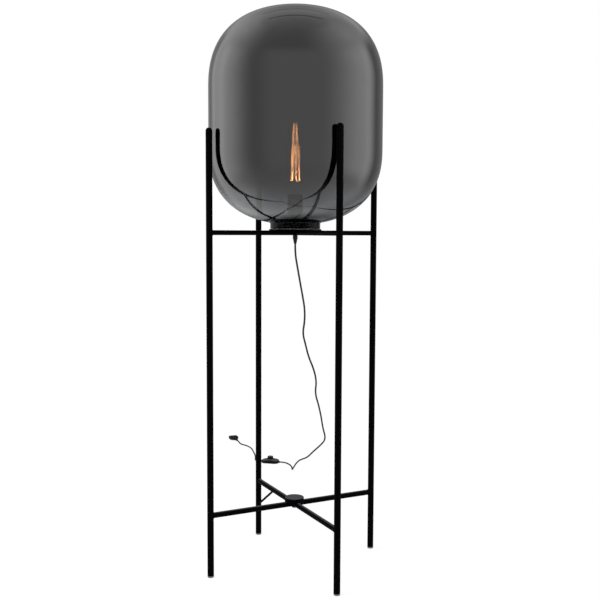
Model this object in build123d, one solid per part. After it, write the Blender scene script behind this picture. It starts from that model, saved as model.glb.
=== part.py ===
from build123d import *
from math import cos, sin, radians, tan, pi, sqrt
import os

# Globe floor lamp. Millimetres, +Z up. The origin is on the floor, midway between the four feet.
# X runs left to right and Y front to back along the sides of the square of legs.

# ---------------------------------------------------------------- frame
leg_d = 16.0                 # round steel tube
leg_gap = 5.0                # between a leg and the belly of the glass
leg_wall = 1.5
leg_top = 1098.5             # crown of the domed cap
glide_height = 4.0
glide_edge = 0.8             # bevel of its foot
plug_in_length = 10.0        # how far caps and glides reach into a tube
press_gap = 0.1              # radial gap of pressed and threaded pieces

upper_arm_d = 12.0
upper_arm_z = 849.5          # axis height
upper_hub_d = 26.0
lower_arm_d = 14.0
lower_arm_z = 155.0
lower_hub_d = 49.0
lower_hub_height = 12.0
lower_hub_edge = 0.6
lower_hub_sink = 2.5         # how deep the disc is grooved over the arms
hub_screw_d = 6.0
hub_screw_head_d = 10.5
hub_screw_head_height = 3.3
hub_screw_head_round = 2.0
hub_screw_reach = 8.0        # thread length inside the disc
hub_washer_height = 4.5
brace_d = 6.0
brace_foot_z = 86.6          # where the brace axis meets the leg axis
brace_run = 104.4            # from the leg axis to where the brace meets the arm axis

# ---------------------------------------------------------------- glass and its seat
plate_margin = 3.2           # of the plate outside the neck of the glass
plate_thick = 3.0
plate_edge = 0.8
gasket_thick = 1.0
gasket_width = 5.0
ring_height = 4.0            # upstand that centres the glass neck
ring_wall = 1.5
ring_gap = 0.8               # between the upstand and the neck
seat_gap = 0.3               # globe over gasket, moving pieces over their seats

globe_d = 432.8
glass_wall = 3.0
crown_height = 196.5         # height of the upper dome
crown_power = 2.43           # superellipse power of the upper dome
base_height = 185.9          # height of the lower dome down to its flat pole
base_power = 2.364
belly_height = 147.0         # straight side between the domes
neck_d = 125.6
neck_height = 15.1           # from the lip to where the lower dome meets the neck
neck_fillet = 4.0
lip_round = 1.3

# ---------------------------------------------------------------- lampholder
bore_gap = 0.2               # clearance round the threaded nipple
nipple_d = 10.0
nipple_wall = 1.2
nut_across_flats = 14.0
nut_height = 5.0
cup_d = 60.0
cup_height = 16.0
cup_wall = 1.2
cup_corner = 5.0
holder_d = 38.5
holder_height = 59.0
holder_wall = 2.0
holder_lift = 12.5           # from the rim of the cup to the lampholder
holder_base_height = 21.0
holder_neck_d = 20.0
holder_bend_height = 7.0     # the rounded shoulder of the base, in two slopes
holder_bend_inset = 3.0
holder_shoulder_height = 13.0
holder_edge = 0.8
holder_spigot_height = 4.0
holder_entry_height = 6.0    # threaded boss on the nipple
holder_rim = 2.0             # inward rim at the mouth
core_depth = 8.0
core_flange = 2.5
core_gap = 0.2
shell_wall = 0.6
contact_strip = (9.0, 5.0, 0.6)
contact_pip_d = 5.0
contact_pip_height = 0.7
terminal_offset = 8.0
terminal_d = 4.4
terminal_height = 4.0

# ---------------------------------------------------------------- tubular bulb, E27 cap
bulb_d = 30.0
bulb_length = 225.0          # contact to crown
bulb_glass_wall = 1.0
bulb_shoulder = 10.0         # height over which the neck widens to the tube
bulb_neck_d = 22.6
cap_d = 26.2                 # over the thread
cap_root_d = 24.2
cap_pitch = 3.62
cap_crest = 0.3              # share of the pitch that is crest
cap_turns = 4
cap_wall = 0.4
cap_height = 21.0            # brass shell
cap_skirt = 3.5              # plain band at the top of the shell
cap_foot_inset = 2.0
cap_foot_height = 1.0
cap_overlap = 4.0            # glass neck inside the shell
cap_clearance = 0.3          # shell inside the lampholder
tip_d = 9.0
tip_height = 2.0
insulator_tip_d = 11.0
insulator_height = 4.0
stem_d = 7.0
stem_wall = 1.3
stem_height = 33.0
stem_flare = 8.0             # height of its flared foot
stem_press = 7.0             # height of its solid, flattened top
stem_top_d = 4.2
mast_d = 2.4
lead_d = 0.8
lead_offset = 1.2
filament_wire_d = 0.7
filament_foot = 62.9         # height of its feet above the bulb's contact
filament_foot_r = 11.0
filament_inner = 205.9       # of its tall hoops
filament_inner_r = 4.5
filament_outer = 150.9       # of its other hoops
filament_outer_r = 9.0
filament_hoops = 6
filament_tall_every = 3      # one hoop in so many is a tall one
filament_step = 50.0         # degrees between feet
support_wire_d = 0.5
support_rise = 6.0           # from the mast to the end of a support

# ---------------------------------------------------------------- cord and cord grip
cord_d = 5.0
arc_share = 0.45             # of the shorter run beside it that an arc of the cord takes
core_bore_d = 3.8            # bore of every sleeve that the cord's jacket butts against
wire_d = 1.5
wire_offset = 0.9
wire_bends = [4.0, 1.5]      # radii where a wire leaves the nipple and where it meets its terminal
collar_d = 12.5
collar_edge = 1.5            # bevel of its lower edge
collar_neck_d = 12.0
collar_neck_height = 3.5
collar_height = 9.5
collar_thread = 8.5          # depth of the threaded bore
grip_tip_d = 7.0
grip_tip_edge = 1.2
grip_height = 11.5

# ---------------------------------------------------------------- foot switch
switch_centre = (-398.0, 886.0)
switch_angle = 5.8           # its long axis, degrees from X
switch_length = 64.0
switch_width = 40.0
switch_corner = 15.0
switch_wall = 2.0
switch_pad_height = 1.0
switch_pad_d = 7.0
switch_pad_inset = 10.0      # of a pad's centre from the ends and the sides of the case
switch_split_z = 6.0         # parting line of base and cover
switch_top_z = 15.0          # crown of the domed cover
switch_dome_rise = 5.0       # from the ends of the cover to its crown
switch_edge = 2.5
switch_base_edge = 0.8
button_d = 21.0
button_proud = 9.5           # above the crown of the cover
button_gap = 0.4
button_flange_d = 24.5
button_flange = 1.8
button_travel = 3.0
button_edge = 1.6
spring_d = 11.0
spring_wall = 1.2
contact_block = (24.0, 16.0, 1.2)
switch_terminal = (5.0, 6.0, 4.0)
switch_terminal_offset = 20.0
switch_screw_d = 2.8
switch_screw_head_d = 5.2
switch_screw_head_height = 1.5
switch_screw_sink = 0.2      # of the head's face inside its counterbore
switch_screw_offset = 15.2
switch_boss_d = 4.8
boss_root = 0.5              # how far a boss runs into the wall that it stands on
grommet_length = 4.0
grommet_d = 8.0
grommet_tip_d = 6.4
grommet_z = 4.6
grommet_inner = 5.0          # length inside the case

# ---------------------------------------------------------------- two-pin plug
plug_start = (-636.4, 1138.2)
plug_angle = 130.3           # the way its pins point, degrees from X
plug_relief_length = 24.0
plug_relief_d = 10.0
plug_relief_tip_d = 7.0
plug_length = 36.0
plug_flare = 16.2            # length over which it widens
plug_width = 35.3
plug_thick = 13.7
plug_back_width = 16.0
plug_back_thick = 11.0
plug_corner = 5.0
pin_spacing = 18.6
pin_d = 4.0
pin_length = 19.0
pin_sleeve_length = 10.0     # the sleeve lies flush with the pin
pin_core_d = 3.0
pin_root = 7.0
pin_edge = 0.8

# Cord route from the cord grip to the foot switch, and from there to the plug.
hang_route = [
    (0, 0, 797), (2, 12, 764), (3, 29, 727), (3, 50, 690), (2, 73, 652), (-5, 94, 616), (-17, 113, 582),
    (-16, 136, 549), (-17, 165, 512), (-12, 197, 474), (-13, 227, 434), (-27, 257, 395), (-27, 293, 353),
    (-31, 331, 311), (-38, 371, 269), (-41, 414, 225), (-72, 457, 193), (-108, 503, 161), (-143, 550, 127),
    (-174, 600, 106), (-205, 650, 86), (-234, 702, 60), (-261, 753, 30), (-281, 796, 8), (-292, 827, 2.5),
    (-304, 855, 2.5), (-321, 878, 2.5),
]
floor_route = [
    (-452, 884.3, 4.2), (-459.5, 890.9, 3.2), (-466, 906.5, 2.5), (-474, 929, 2.5), (-488, 960, 2.5),
    (-514, 1008, 2.5), (-541, 1055, 2.5), (-572, 1085, 2.5), (-606, 1100, 2.5),
]
lead_in_lamp = 20.0          # straight cord at each rigid end of the two stretches
lead_in_plug = 9.0
lead_in_relief = 14.0

os.makedirs("parts", exist_ok=True)

# ---------------------------------------------------------------- helpers


def save(node, *solids):
    """Write one node; several solids make a group of separate pieces."""
    shape = solids[0] if len(solids) == 1 else Compound(children=list(solids))
    export_step(shape, f"parts/{node}.step")


def rod(d, z0, z1, at=(0, 0)):
    """Upright cylinder."""
    return Pos(at[0], at[1], z0) * Cylinder(d / 2, z1 - z0, align=(Align.CENTER, Align.CENTER, Align.MIN))


def pipe(d_out, d_in, z0, z1, at=(0, 0)):
    """Upright tube."""
    return rod(d_out, z0, z1, at) - rod(d_in, z0 - 1, z1 + 1, at)


def bar(start, end, d):
    """Cylinder from one point to another."""
    start, end = Vector(*start), Vector(*end)
    run = end - start
    return Solid.make_cylinder(d / 2, run.length, Plane(origin=start, z_dir=run))


def turned(*points):
    """Solid of revolution about Z from (radius, height) corners."""
    return revolve(Plane.XZ * make_face(Polyline(*points, close=True)), Axis.Z)


def tapered(d0, d1, length):
    """Cone along +X from the origin, d0 at the start."""
    return Rot(0, 90, 0) * Cone(d0 / 2, d1 / 2, length, align=(Align.CENTER, Align.CENTER, Align.MIN))


def along_x(d, x0, x1, y=0.0, z=0.0):
    """Cylinder along X."""
    return bar((x0, y, z), (x1, y, z), d)


def corner_radii(route):
    """Arc radius at each inner corner of a cord route."""
    radii = []
    for before, here, after in zip(route, route[1:], route[2:]):
        run_in, run_out = Vector(*here) - Vector(*before), Vector(*after) - Vector(*here)
        turn = radians(run_in.get_angle(run_out))
        radii.append(arc_share * min(run_in.length, run_out.length) / tan(turn / 2))
    return radii


def cord_tube(name, route):
    """Round tube along straight runs joined by tangent arcs."""
    radii = corner_radii(route)
    path = FilletPolyline(*route, radius=radii)
    section = path.location_at(0) * Circle(cord_d / 2)
    tube = sweep(section, path=path)
    expected = pi * (cord_d / 2) ** 2 * path.length
    runs = [(Vector(*b) - Vector(*a)).length for a, b in zip(route, route[1:])]
    print(f"{name}: length {path.length:.0f}, volume over expected {tube.volume / expected:.4f}")
    print("  radii", [round(r) for r in radii])
    print("  runs", [round(r) for r in runs])
    return tube


# ---------------------------------------------------------------- legs
half = (globe_d + leg_d + 2 * leg_gap) / 2 / sqrt(2)
corners = {
    "front_left": (-half, -half),
    "front_right": (half, -half),
    "back_right": (half, half),
    "back_left": (-half, half),
}
leg_bore_d = leg_d - 2 * leg_wall
spigot_d = leg_bore_d - 2 * press_gap
cap_seat_z = leg_top - leg_d / 2


def leg_space(at):
    """Full round of a leg, for coping what is welded to it."""
    return rod(leg_d, 0, leg_top, at)


def leg_cap(at):
    ball = Pos(at[0], at[1], cap_seat_z) * Sphere(leg_d / 2)
    dome = ball - rod(2 * leg_d, cap_seat_z - leg_d, cap_seat_z, at)
    return dome + rod(spigot_d, cap_seat_z - plug_in_length, cap_seat_z, at)


def foot_glide(at):
    foot = rod(leg_d, 0, glide_height, at)
    foot = chamfer(foot.edges().group_by(Axis.Z)[0], glide_edge)
    return foot + rod(spigot_d, glide_height, glide_height + plug_in_length, at)


for name, at in corners.items():
    save(f"leg_{name}", pipe(leg_d, leg_bore_d, glide_height, cap_seat_z, at))
save("leg_caps", *[leg_cap(at) for at in corners.values()])
save("foot_glides", *[foot_glide(at) for at in corners.values()])

# ---------------------------------------------------------------- upper cross under the glass
hub_low = upper_arm_z - upper_arm_d / 2
hub_high = upper_arm_z + upper_arm_d / 2
nipple_bore_d = nipple_d + 2 * bore_gap
save("upper_hub", pipe(upper_hub_d, nipple_bore_d, hub_low, hub_high))

for name, at in corners.items():
    arm = bar((0, 0, upper_arm_z), (at[0], at[1], upper_arm_z), upper_arm_d)
    arm = arm - rod(upper_hub_d, hub_low - 1, hub_high + 1) - leg_space(at)
    save(f"upper_arm_{name}", arm)

# ---------------------------------------------------------------- lower cross with its hub disc


def lower_bar(start, end):
    return bar((*start, lower_arm_z), (*end, lower_arm_z), lower_arm_d)


through_bar = lower_bar(corners["back_left"], corners["front_right"])
cross_bar = lower_bar(corners["front_left"], corners["back_right"])
screw_hole_d = hub_screw_d + 2 * bore_gap
disc_low = lower_arm_z + lower_arm_d / 2 - lower_hub_sink
disc_high = disc_low + lower_hub_height
washer_low = lower_arm_z - lower_arm_d / 2 - hub_washer_height + lower_hub_sink
screw_top = disc_low + hub_screw_reach

through_arm = through_bar - leg_space(corners["back_left"]) - leg_space(corners["front_right"])
save("lower_arm_through", through_arm - rod(screw_hole_d, 0, lower_arm_z + lower_arm_d))
for side, corner in (("front", "front_left"), ("back", "back_right")):
    arm = lower_bar((0, 0), corners[corner]) - leg_space(corners[corner]) - through_bar
    save(f"lower_arm_{side}", arm - rod(screw_hole_d, 0, lower_arm_z + lower_arm_d))

disc = rod(lower_hub_d, disc_low, disc_high)
disc = chamfer(disc.edges().group_by(Axis.Z)[-1], lower_hub_edge)
disc = disc - through_bar - cross_bar - rod(hub_screw_d + 2 * press_gap, disc_low - 1, screw_top + 1)
save("lower_hub_disc", disc)

washer = pipe(lower_arm_d, screw_hole_d, washer_low, lower_arm_z) - through_bar - cross_bar
save("lower_hub_washer", washer.solids().sort_by(Axis.Z)[0])
head = rod(hub_screw_head_d, washer_low - hub_screw_head_height, washer_low)
head = fillet(head.edges().group_by(Axis.Z)[0], hub_screw_head_round)
save("lower_hub_screw", head + rod(hub_screw_d, washer_low, screw_top))

# ---------------------------------------------------------------- brace between one leg and the lower cross
brace_leg = corners["back_left"]
brace_share = brace_run / (half * sqrt(2))
brace_end = (brace_leg[0] * (1 - brace_share), brace_leg[1] * (1 - brace_share), lower_arm_z)
brace = bar((*brace_leg, brace_foot_z), brace_end, brace_d) - leg_space(brace_leg) - through_bar
save("brace_rod", brace.solids().sort_by(SortBy.VOLUME)[-1])

# ---------------------------------------------------------------- seat of the glass
plate_top = hub_high + plate_thick
plate = pipe(neck_d + 2 * plate_margin, nipple_bore_d, hub_high, plate_top)
plate_rim = plate.edges().group_by(Axis.Z)[-1].sort_by(SortBy.LENGTH)[-1]
save("gallery_plate", chamfer(plate_rim, plate_edge))

neck_r = neck_d / 2
ring_d = neck_d - 2 * glass_wall - 2 * ring_gap
save("locating_ring", pipe(ring_d, ring_d - 2 * ring_wall, plate_top, plate_top + ring_height))
save("glass_gasket", pipe(ring_d + 2 * gasket_width, ring_d, plate_top, plate_top + gasket_thick))

# ---------------------------------------------------------------- glass globe
lip_z = plate_top + gasket_thick + seat_gap
base_reach = base_height * (1 - (2 * neck_r / globe_d) ** base_power) ** (1 / base_power)
belly_low_z = lip_z + neck_height + base_reach
belly_top_z = belly_low_z + belly_height
crown_z = belly_top_z + crown_height


def dome_points(radius, height, power, foot_z, up, end_r, count=12, last_share=0.985):
    """Points of a superellipse from the belly towards the pole, ending at end_r."""
    last = (1 - (end_r / radius) ** power) ** (1 / power)
    points = []
    for step in range(count):
        angle = radians(90) * step / (count - 1)
        points.append((cos(angle) ** (2 / power), sin(angle) ** (2 / power)))
    points = [p for p in points if p[1] < last * last_share] + [(end_r / radius, last)]
    return [(radius * share, foot_z + up * height * rise) for share, rise in points]


def glass_wire(inset):
    """Edges of one face of the glass, from the crown to the foot of the neck."""
    radius = globe_d / 2 - inset
    crown = dome_points(radius, crown_height - inset, crown_power, belly_top_z, 1, 0)
    base = dome_points(radius, base_height - inset, base_power, belly_low_z, -1, neck_r - inset)
    slope = (base[-1][0] - base[-2][0], base[-1][1] - base[-2][1])
    return [
        Spline(*reversed(crown), tangents=[(1, 0), (0, -1)]),
        Line((radius, belly_top_z), (radius, belly_low_z)),
        Spline(*base, tangents=[(0, -1), slope]),
        Line(base[-1], (neck_r - inset, lip_z)),
    ]


outer, inner = glass_wire(0), glass_wire(glass_wall)
crown_gap = Line(outer[0] @ 0, inner[0] @ 0)
lip = Line(outer[3] @ 1, inner[3] @ 1)
section = make_face(outer + [lip] + inner + [crown_gap])
neck_corner = section.vertices().sort_by_distance(Vertex(*(outer[3] @ 0)))[0]
section = fillet(neck_corner, neck_fillet)
inner_corner = section.vertices().sort_by_distance(Vertex(*(inner[3] @ 0)))[0]
section = fillet(inner_corner, neck_fillet + glass_wall)
section = fillet(section.vertices().group_by(Axis.Y)[0], lip_round)
globe = revolve(Plane.XZ * section, Axis.Z)
save("glass_globe", globe)

# ---------------------------------------------------------------- cup, nipple and nuts
holder_low = plate_top + cup_height + holder_lift
holder_mouth_z = holder_low + holder_height
cup_outer = rod(cup_d, plate_top, plate_top + cup_height)
cup_outer = fillet(cup_outer.edges().group_by(Axis.Z)[0], cup_corner)
cup_inner = rod(cup_d - 2 * cup_wall, plate_top + cup_wall, plate_top + cup_height + 1)
cup_inner = fillet(cup_inner.edges().group_by(Axis.Z)[0], cup_corner - cup_wall)
save("holder_cup", cup_outer - cup_inner - rod(nipple_bore_d, 0, holder_mouth_z))

nipple_low = hub_low - collar_thread + bore_gap
nipple_high = holder_low + holder_entry_height
nipple_inner_d = nipple_d - 2 * nipple_wall
save("threaded_nipple", pipe(nipple_d, nipple_inner_d, nipple_low, nipple_high))


def hex_nut(z0):
    blank = Pos(0, 0, z0) * extrude(RegularPolygon(nut_across_flats / 2, 6, major_radius=False), nut_height)
    return blank - rod(nipple_d + 2 * press_gap, 0, holder_mouth_z)


save("nipple_nuts", hex_nut(plate_top + cup_wall), hex_nut(holder_low - nut_height))

# ---------------------------------------------------------------- cord grip under the crossing
collar_low = hub_low - collar_height
grip_low = collar_low - grip_height
collar_step = hub_low - collar_neck_height
collar_foot_r = collar_d / 2 - collar_edge / 2
collar = turned(
    (0, collar_low), (collar_foot_r, collar_low), (collar_d / 2, collar_low + collar_edge),
    (collar_d / 2, collar_step), (collar_neck_d / 2, collar_step), (collar_neck_d / 2, hub_low), (0, hub_low),
)
collar = collar - rod(nipple_d + 2 * press_gap, hub_low - collar_thread, hub_low + 1)
save("cord_grip_collar", collar - rod(core_bore_d, collar_low - 1, hub_low))
sleeve = turned(
    (0, grip_low), (grip_tip_d / 2 - grip_tip_edge / 2, grip_low), (grip_tip_d / 2, grip_low + grip_tip_edge),
    (collar_foot_r, collar_low), (0, collar_low),
)
save("cord_grip_sleeve", sleeve - rod(core_bore_d, grip_low - 1, collar_low + 1))

# ---------------------------------------------------------------- lampholder
holder_r = holder_d / 2
base_high = holder_low + holder_base_height
skirt_bore_r = holder_r - holder_wall
spigot_r = skirt_bore_r - press_gap
spigot_high = base_high + holder_spigot_height
spigot_bore_r = spigot_r - holder_wall
boss_r = nipple_d / 2 + press_gap
bend_z = holder_low + holder_bend_height
shoulder_foot_z = holder_low + holder_shoulder_height
base = turned(
    (0, holder_low), (holder_neck_d / 2, holder_low), (holder_r - holder_bend_inset, bend_z),
    (holder_r, shoulder_foot_z), (holder_r, base_high), (spigot_r, base_high), (spigot_r, spigot_high),
    (spigot_bore_r, spigot_high), (spigot_bore_r, shoulder_foot_z),
    (spigot_bore_r - holder_bend_inset, bend_z + holder_wall),
    (boss_r + holder_wall, holder_low + holder_wall), (boss_r + holder_wall, nipple_high), (0, nipple_high),
)
save("holder_base", base - rod(2 * boss_r, 0, holder_mouth_z))

rim_z = holder_mouth_z - holder_rim
shell_bore_r = cap_d / 2 + cap_clearance
shell_r = shell_bore_r + shell_wall
rim_bore_r = shell_r + bore_gap
skirt = turned(
    (skirt_bore_r, base_high), (holder_r, base_high), (holder_r, holder_mouth_z - holder_edge),
    (holder_r - holder_edge, holder_mouth_z), (rim_bore_r, holder_mouth_z), (rim_bore_r, rim_z),
    (skirt_bore_r, rim_z),
)
save("holder_skirt", skirt)

core_top = spigot_high + core_flange
core = rod(2 * (spigot_bore_r - core_gap), core_top - core_depth, spigot_high)
core = core + rod(2 * (skirt_bore_r - core_gap), spigot_high, core_top)
save("holder_core", core)
save("holder_liner", pipe(2 * (skirt_bore_r - core_gap), 2 * shell_r, core_top, rim_z))
save("holder_thread_shell", pipe(2 * shell_r, 2 * shell_bore_r, core_top, rim_z - holder_rim))

pip_low = core_top + contact_strip[2]
bulb_low = pip_low + contact_pip_height + seat_gap
strip = Pos(0, 0, core_top) * Box(*contact_strip, align=(Align.CENTER, Align.CENTER, Align.MIN))
save("holder_contact", strip + rod(contact_pip_d, pip_low, pip_low + contact_pip_height))

terminals = [rod(terminal_d, core_top - core_depth - terminal_height, core_top - core_depth, (side, 0))
             for side in (-terminal_offset, terminal_offset)]
save("holder_terminals", *terminals)

# Two insulated wires from the cord grip up through the nipple to the terminals.


def supply_wire(side):
    terminal_z = core_top - core_depth - terminal_height / 2
    reach = terminal_offset - terminal_d / 2
    points = [
        (side * wire_offset, 0, grip_low), (side * wire_offset, 0, nipple_high + wire_d),
        (side * reach / 2, 0, terminal_z), (side * reach, 0, terminal_z),
    ]
    path = FilletPolyline(*points, radius=wire_bends)
    wire = sweep(path.location_at(0) * Circle(wire_d / 2), path=path)
    return wire - rod(terminal_d, 0, holder_mouth_z, (side * terminal_offset, 0))


save("supply_wires", supply_wire(-1), supply_wire(1))

# ---------------------------------------------------------------- bulb
bulb_high = bulb_low + bulb_length
insulator_low = bulb_low + tip_height
shell_low = insulator_low + insulator_height
shell_high = shell_low + cap_height
neck_low = shell_high - cap_overlap
root_r = cap_root_d / 2
crest_r = cap_d / 2
tip = rod(tip_d, bulb_low, insulator_low)
save("bulb_contact", chamfer(tip.edges().group_by(Axis.Z)[0], tip_height / 2))
foot_r = root_r - cap_foot_inset
save("bulb_insulator", turned((0, insulator_low), (insulator_tip_d / 2, insulator_low), (foot_r, shell_low),
                              (0, shell_low)))

thread_low = shell_low + cap_foot_height
skirt_low = shell_high - cap_skirt
flank = cap_pitch * (1 - cap_crest) / 2
profile = [(foot_r, shell_low), (root_r, thread_low)]
for turn in range(cap_turns):
    z = thread_low + turn * cap_pitch
    profile += [(crest_r, z + flank), (crest_r, z + cap_pitch - flank), (root_r, z + cap_pitch)]
profile += [(root_r, skirt_low), (crest_r, skirt_low + crest_r - root_r), (crest_r, shell_high)]
cap_bore_r = root_r - cap_wall
profile += [(cap_bore_r, shell_high), (cap_bore_r, thread_low), (foot_r, shell_low + cap_wall)]
save("bulb_cap", turned(*profile))

tube_r = bulb_d / 2
neck_glass_r = bulb_neck_d / 2
crown_centre_z = bulb_high - tube_r
shoulder_z = shell_high + bulb_glass_wall


def bulb_wire(inset):
    """One face of the bulb's glass, from the neck to the crown."""
    r, neck = tube_r - inset, neck_glass_r - inset
    wide_z = shoulder_z + bulb_shoulder
    return [
        Line((neck, neck_low), (neck, shoulder_z)),
        Spline((neck, shoulder_z), (r, wide_z), tangents=[(0, 1), (0, 1)]),
        Line((r, wide_z), (r, crown_centre_z)),
        RadiusArc((r, crown_centre_z), (0, crown_centre_z + r), -r),
    ]


outside, inside = bulb_wire(0), bulb_wire(bulb_glass_wall)
ends = [Line(outside[0] @ 0, inside[0] @ 0), Line(outside[3] @ 1, inside[3] @ 1)]
save("bulb_glass", revolve(Plane.XZ * make_face(outside + inside + ends), Axis.Z))

stem_r = stem_d / 2
stem_high = neck_low + stem_height
press_low = stem_high - stem_press
flare_r = neck_glass_r - bulb_glass_wall
filament_foot_z = bulb_low + filament_foot
filament_inner_z = bulb_low + filament_inner
filament_outer_z = bulb_low + filament_outer
mast_high = filament_inner_z - filament_wire_d / 2
stem = turned(
    (stem_r - stem_wall, neck_low), (flare_r, neck_low), (flare_r, neck_low + stem_wall),
    (stem_r + stem_wall, neck_low + stem_flare / 2), (stem_r, neck_low + stem_flare), (stem_r, press_low),
    (stem_top_d / 2, stem_high), (mast_d / 2, stem_high + mast_d), (mast_d / 2, mast_high), (0, mast_high),
    (0, press_low), (stem_r - stem_wall, press_low),
)
save("bulb_stem", stem)
leads = [rod(lead_d, shell_low, press_low, (side * lead_offset, 0)) for side in (-1, 1)]
save("bulb_leads", *leads)

# The filament is one wire that zigzags between feet and hoops round the mast.


def round_mast(radius, turn, z):
    return (radius * cos(radians(turn)), radius * sin(radians(turn)), z)


feet = [round_mast(filament_foot_r, filament_step * i, filament_foot_z) for i in range(filament_hoops + 1)]
hoops = []
for i in range(filament_hoops):
    tall = i % filament_tall_every == 1
    radius = filament_inner_r if tall else filament_outer_r
    z = filament_inner_z if tall else filament_outer_z
    hoops.append(round_mast(radius, filament_step * (i + 0.5), z))
bends = [feet[0]]
for hoop, foot in zip(hoops, feet[1:]):
    bends += [hoop, foot]
filament = Pos(*bends[0]) * Sphere(filament_wire_d / 2)
for before, here in zip(bends, bends[1:]):
    filament = filament + bar(before, here, filament_wire_d)
    filament = filament + Pos(*here) * Sphere(filament_wire_d / 2)
save("bulb_filament", filament)

supports = []
for bend in feet + hoops:
    supports.append(bar((0, 0, bend[2] - support_rise), bend, support_wire_d) - stem - filament)
save("bulb_supports", *[max(piece.solids(), key=lambda s: s.volume) for piece in supports])

# -------------------------------------------------------- foot switch, built at the origin and then placed
switch_place = Pos(switch_centre[0], switch_centre[1], 0) * Rot(0, 0, switch_angle)
floor_z = switch_pad_height + switch_wall
screw_spots = [(0, -switch_screw_offset), (0, switch_screw_offset)]
screw_bore_d = switch_screw_d + 2 * press_gap
dome_r = ((switch_length / 2) ** 2 + switch_dome_rise**2) / (2 * switch_dome_rise)


def switch_block(inset, z0, z1):
    outline = RectangleRounded(switch_length - 2 * inset, switch_width - 2 * inset, switch_corner - inset)
    return Pos(0, 0, z0) * extrude(outline, z1 - z0)


def switch_dome(inset, z0):
    """The block from z0 up, under the domed top; inset 0 is the outer face and the wall the inner one."""
    ball = Pos(0, 0, switch_top_z - dome_r) * Sphere(dome_r - inset)
    return switch_block(inset, z0, switch_top_z - inset) & ball


def ceiling(r):
    """Height of the cover's inner face at a distance from its middle."""
    inner_r = dome_r - switch_wall
    return switch_top_z - dome_r + sqrt(inner_r**2 - r**2)


def switch_save(node, *solids):
    save(node, *[switch_place * solid for solid in solids])


grommet_bore = along_x(grommet_tip_d + 2 * press_gap, -switch_length, switch_length, 0, grommet_z)
case = switch_block(0, switch_pad_height, switch_split_z)
case = chamfer(case.edges().group_by(Axis.Z)[0], switch_base_edge)
case = case - switch_block(switch_wall, floor_z, switch_split_z + 1)
screw_seat = switch_pad_height + switch_screw_head_height
for spot in screw_spots:
    case = case + rod(switch_boss_d, floor_z - boss_root, switch_split_z, spot)
    case = case - rod(screw_bore_d, 0, switch_split_z + 1, spot)
    case = case - rod(switch_screw_head_d + 2 * press_gap, 0, screw_seat, spot)
switch_save("switch_base", case - grommet_bore)

cover = switch_dome(0, switch_split_z)
rim = cover.faces().sort_by(Axis.Z)[-1].edges()
cover = fillet(rim, switch_edge) - switch_dome(switch_wall, switch_split_z - 1)
boss_top = ceiling(switch_screw_offset + switch_boss_d / 2)
for spot in screw_spots:
    cover = cover + rod(switch_boss_d, switch_split_z, boss_top + boss_root, spot)
    cover = cover - rod(screw_bore_d, 0, boss_top, spot)
flange_room = ceiling(button_flange_d / 2)
cover = cover - rod(button_d + 2 * button_gap, 0, switch_top_z + 1)
cover = cover - rod(button_flange_d + 2 * button_gap, 0, flange_room)
switch_save("switch_cover", cover - grommet_bore)

pad_x = switch_length / 2 - switch_pad_inset
pad_y = switch_width / 2 - switch_pad_inset
pads = [rod(switch_pad_d, 0, switch_pad_height, (x, y)) for x in (-pad_x, pad_x) for y in (-pad_y, pad_y)]
switch_save("switch_pads", *pads)

screws = []
for spot in screw_spots:
    screw = rod(switch_screw_head_d, switch_pad_height + switch_screw_sink, screw_seat, spot)
    screws.append(screw + rod(switch_screw_d, screw_seat, boss_top - boss_root, spot))
switch_save("switch_screws", *screws)

flange_high = flange_room - seat_gap
flange_low = flange_high - button_flange
button = rod(button_d, flange_low, switch_top_z + button_proud)
button = fillet(button.edges().group_by(Axis.Z)[-1], button_edge)
button = button + rod(button_flange_d, flange_low, flange_high)
switch_save("foot_button", button)

# The contact block has a boss that stops the button at the end of its travel.
block_top = floor_z + contact_block[2]
stop_d = spring_d - 2 * spring_wall - 2 * button_gap
stop_top = flange_low - button_travel - seat_gap
block = Pos(0, 0, floor_z) * Box(*contact_block, align=(Align.CENTER, Align.CENTER, Align.MIN))
switch_save("switch_contact_block", block + rod(stop_d, block_top, stop_top))
spring = pipe(spring_d, spring_d - 2 * spring_wall, block_top, flange_low)
switch_save("button_spring", spring)
tabs = [Pos(side * switch_terminal_offset, 0, floor_z)
        * Box(*switch_terminal, align=(Align.CENTER, Align.CENTER, Align.MIN)) for side in (-1, 1)]
switch_save("switch_terminals", *tabs)


def grommet(side):
    """Cord sleeve at one end of the case; side is 1 towards the lamp."""
    end = switch_length / 2
    outside_part = Pos(end, 0, grommet_z) * tapered(grommet_d, grommet_tip_d, grommet_length)
    inside_part = along_x(grommet_tip_d, end - grommet_inner, end, 0, grommet_z)
    piece = outside_part + inside_part
    piece = piece - along_x(core_bore_d, end - grommet_inner - 1, end + grommet_length + 1, 0, grommet_z)
    return piece if side > 0 else Rot(0, 0, 180) * piece


switch_save("switch_grommets", grommet(1), grommet(-1))

# ---------------------------------------------------------------- plug, built along +X and then placed
plug_axis_z = plug_thick / 2
plug_place = Pos(plug_start[0], plug_start[1], plug_axis_z) * Rot(0, 0, plug_angle)
face_x = plug_relief_length + plug_length
pin_rows = (-pin_spacing / 2, pin_spacing / 2)


def plug_save(node, *solids):
    save(node, *[plug_place * solid for solid in solids])


relief = tapered(plug_relief_tip_d, plug_relief_d, plug_relief_length)
plug_save("plug_strain_relief", relief - along_x(core_bore_d, -1, plug_relief_length + 1))

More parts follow.
